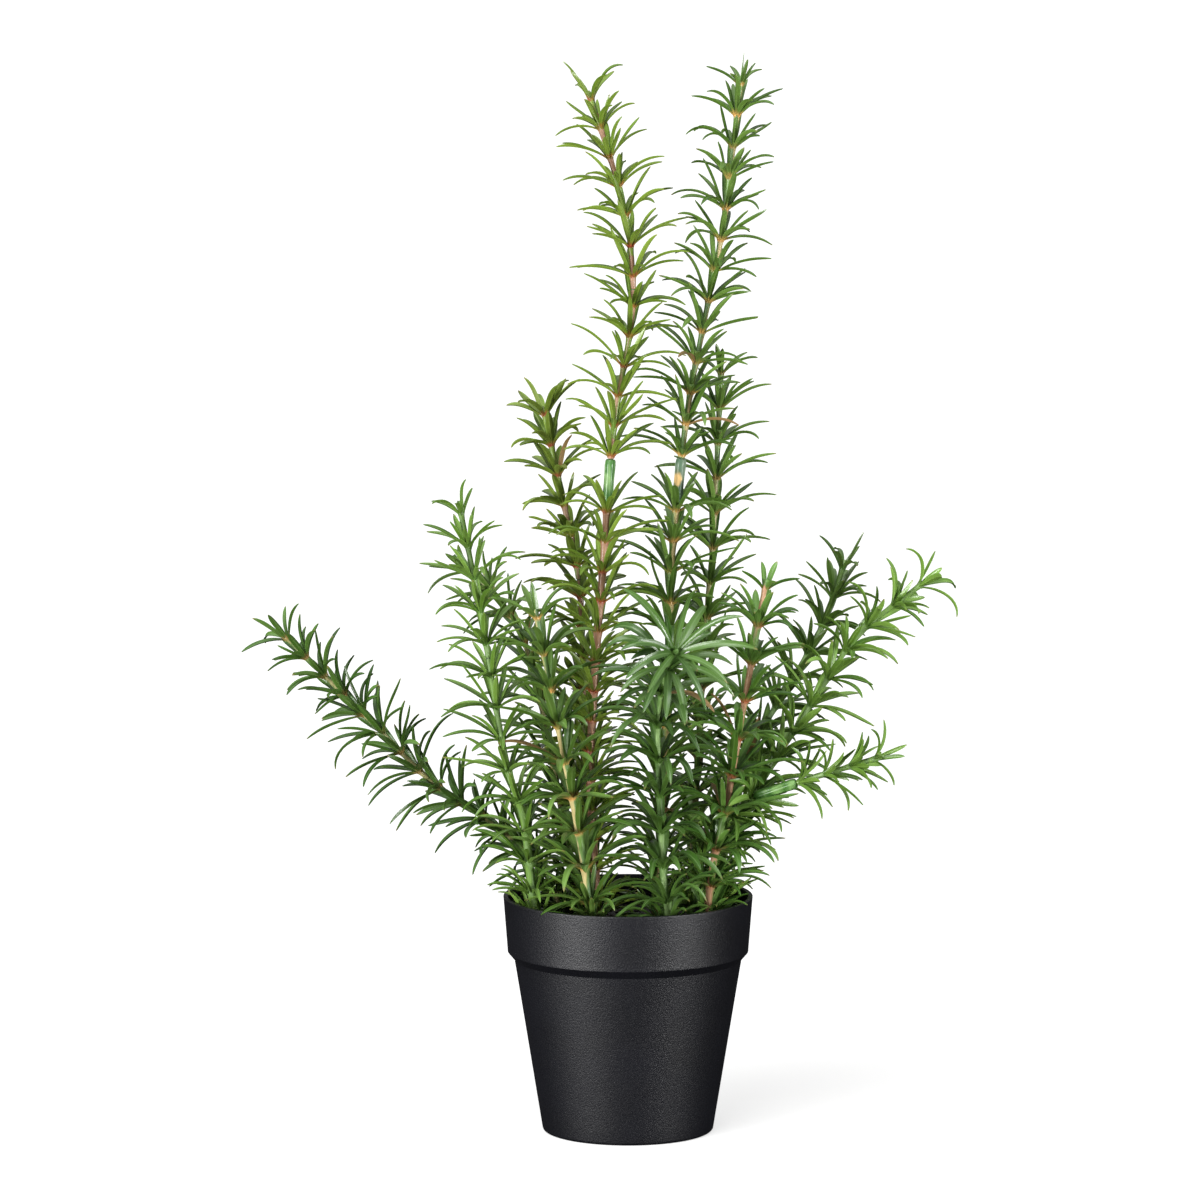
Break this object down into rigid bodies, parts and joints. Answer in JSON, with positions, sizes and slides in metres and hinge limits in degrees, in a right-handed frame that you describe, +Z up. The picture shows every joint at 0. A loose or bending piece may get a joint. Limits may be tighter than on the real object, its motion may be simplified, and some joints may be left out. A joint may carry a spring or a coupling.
{
  "type": "potted rosemary plant",
  "caption": "Bushy potted rosemary: upright and arching shoots with whorls of narrow leaves, set in a filled tapered black pot with a deep rim band.",
  "frame": {"origin": "centre of the flat underside of the pot, where it rests", "axes": "+Z up along the tallest shoots, -Y to the front, +X to the right seen from the front"},
  "size_m": [0.3441, 0.1614, 0.5221],
  "materials": {
    "pot": "matte black moulded plastic with a fine grain",
    "soil": "dark crumbly bark fill",
    "stem_wire": "green coated stem core",
    "sleeve": "smooth green sleeve",
    "leaves_yellow": "satin yellow green leaves on a stem tinted red brown",
    "leaves_bright": "satin bright green leaves",
    "leaves_mid": "satin mid green leaves",
    "leaves_olive": "satin olive green leaves on a red brown stem",
    "leaves_dark": "satin dark green leaves, tan at the whorls"
  },
  "bodies": {
    "root": {"collar_low_right": "sleeve", "collar_tall_left": "sleeve", "collar_tall_right": "sleeve", "pot": "pot", "soil": "soil", "sprig_arching_right_1": "leaves_bright", "sprig_arching_right_2": "leaves_bright", "sprig_back_right_1": "leaves_dark", "sprig_back_right_2": "leaves_dark", "sprig_back_right_3": "leaves_dark", "sprig_behind_left_1": "leaves_dark", "sprig_behind_left_2": "leaves_dark", "sprig_dark_right_1": "leaves_dark", "sprig_dark_right_2": "leaves_dark", "sprig_front_bent_1": "leaves_mid", "sprig_front_bent_2": "leaves_mid", "sprig_front_left_1": "leaves_bright", "sprig_front_left_2": "leaves_bright", "sprig_front_left_3": "leaves_bright", "sprig_front_tan_1": "leaves_dark", "sprig_front_tan_2": "leaves_dark", "sprig_low_left_1": "leaves_mid", "sprig_low_left_2": "leaves_mid", "sprig_low_right_1": "leaves_bright", "sprig_low_right_2": "leaves_bright", "sprig_mid_left_1": "leaves_olive", "sprig_mid_left_2": "leaves_olive", "sprig_mid_left_3": "leaves_olive", "sprig_pink_right_1": "leaves_mid", "sprig_pink_right_2": "leaves_mid", "sprig_tall_left_1": "leaves_yellow", "sprig_tall_left_2": "leaves_yellow", "sprig_tall_left_3": "leaves_yellow", "sprig_tall_left_4": "leaves_yellow", "sprig_tall_right_1": "leaves_dark", "sprig_tall_right_2": "leaves_dark", "sprig_tall_right_3": "leaves_dark", "sprig_tall_right_4": "leaves_dark", "stem_arching_right": "stem_wire", "stem_back_right": "stem_wire", "stem_behind_left": "stem_wire", "stem_dark_right": "stem_wire", "stem_front_bent": "stem_wire", "stem_front_left": "stem_wire", "stem_front_tan": "stem_wire", "stem_low_left": "stem_wire", "stem_low_right": "stem_wire", "stem_mid_left": "stem_wire", "stem_pink_right": "stem_wire", "stem_tall_left": "stem_wire", "stem_tall_right": "stem_wire"}
  },
  "joints": []
}
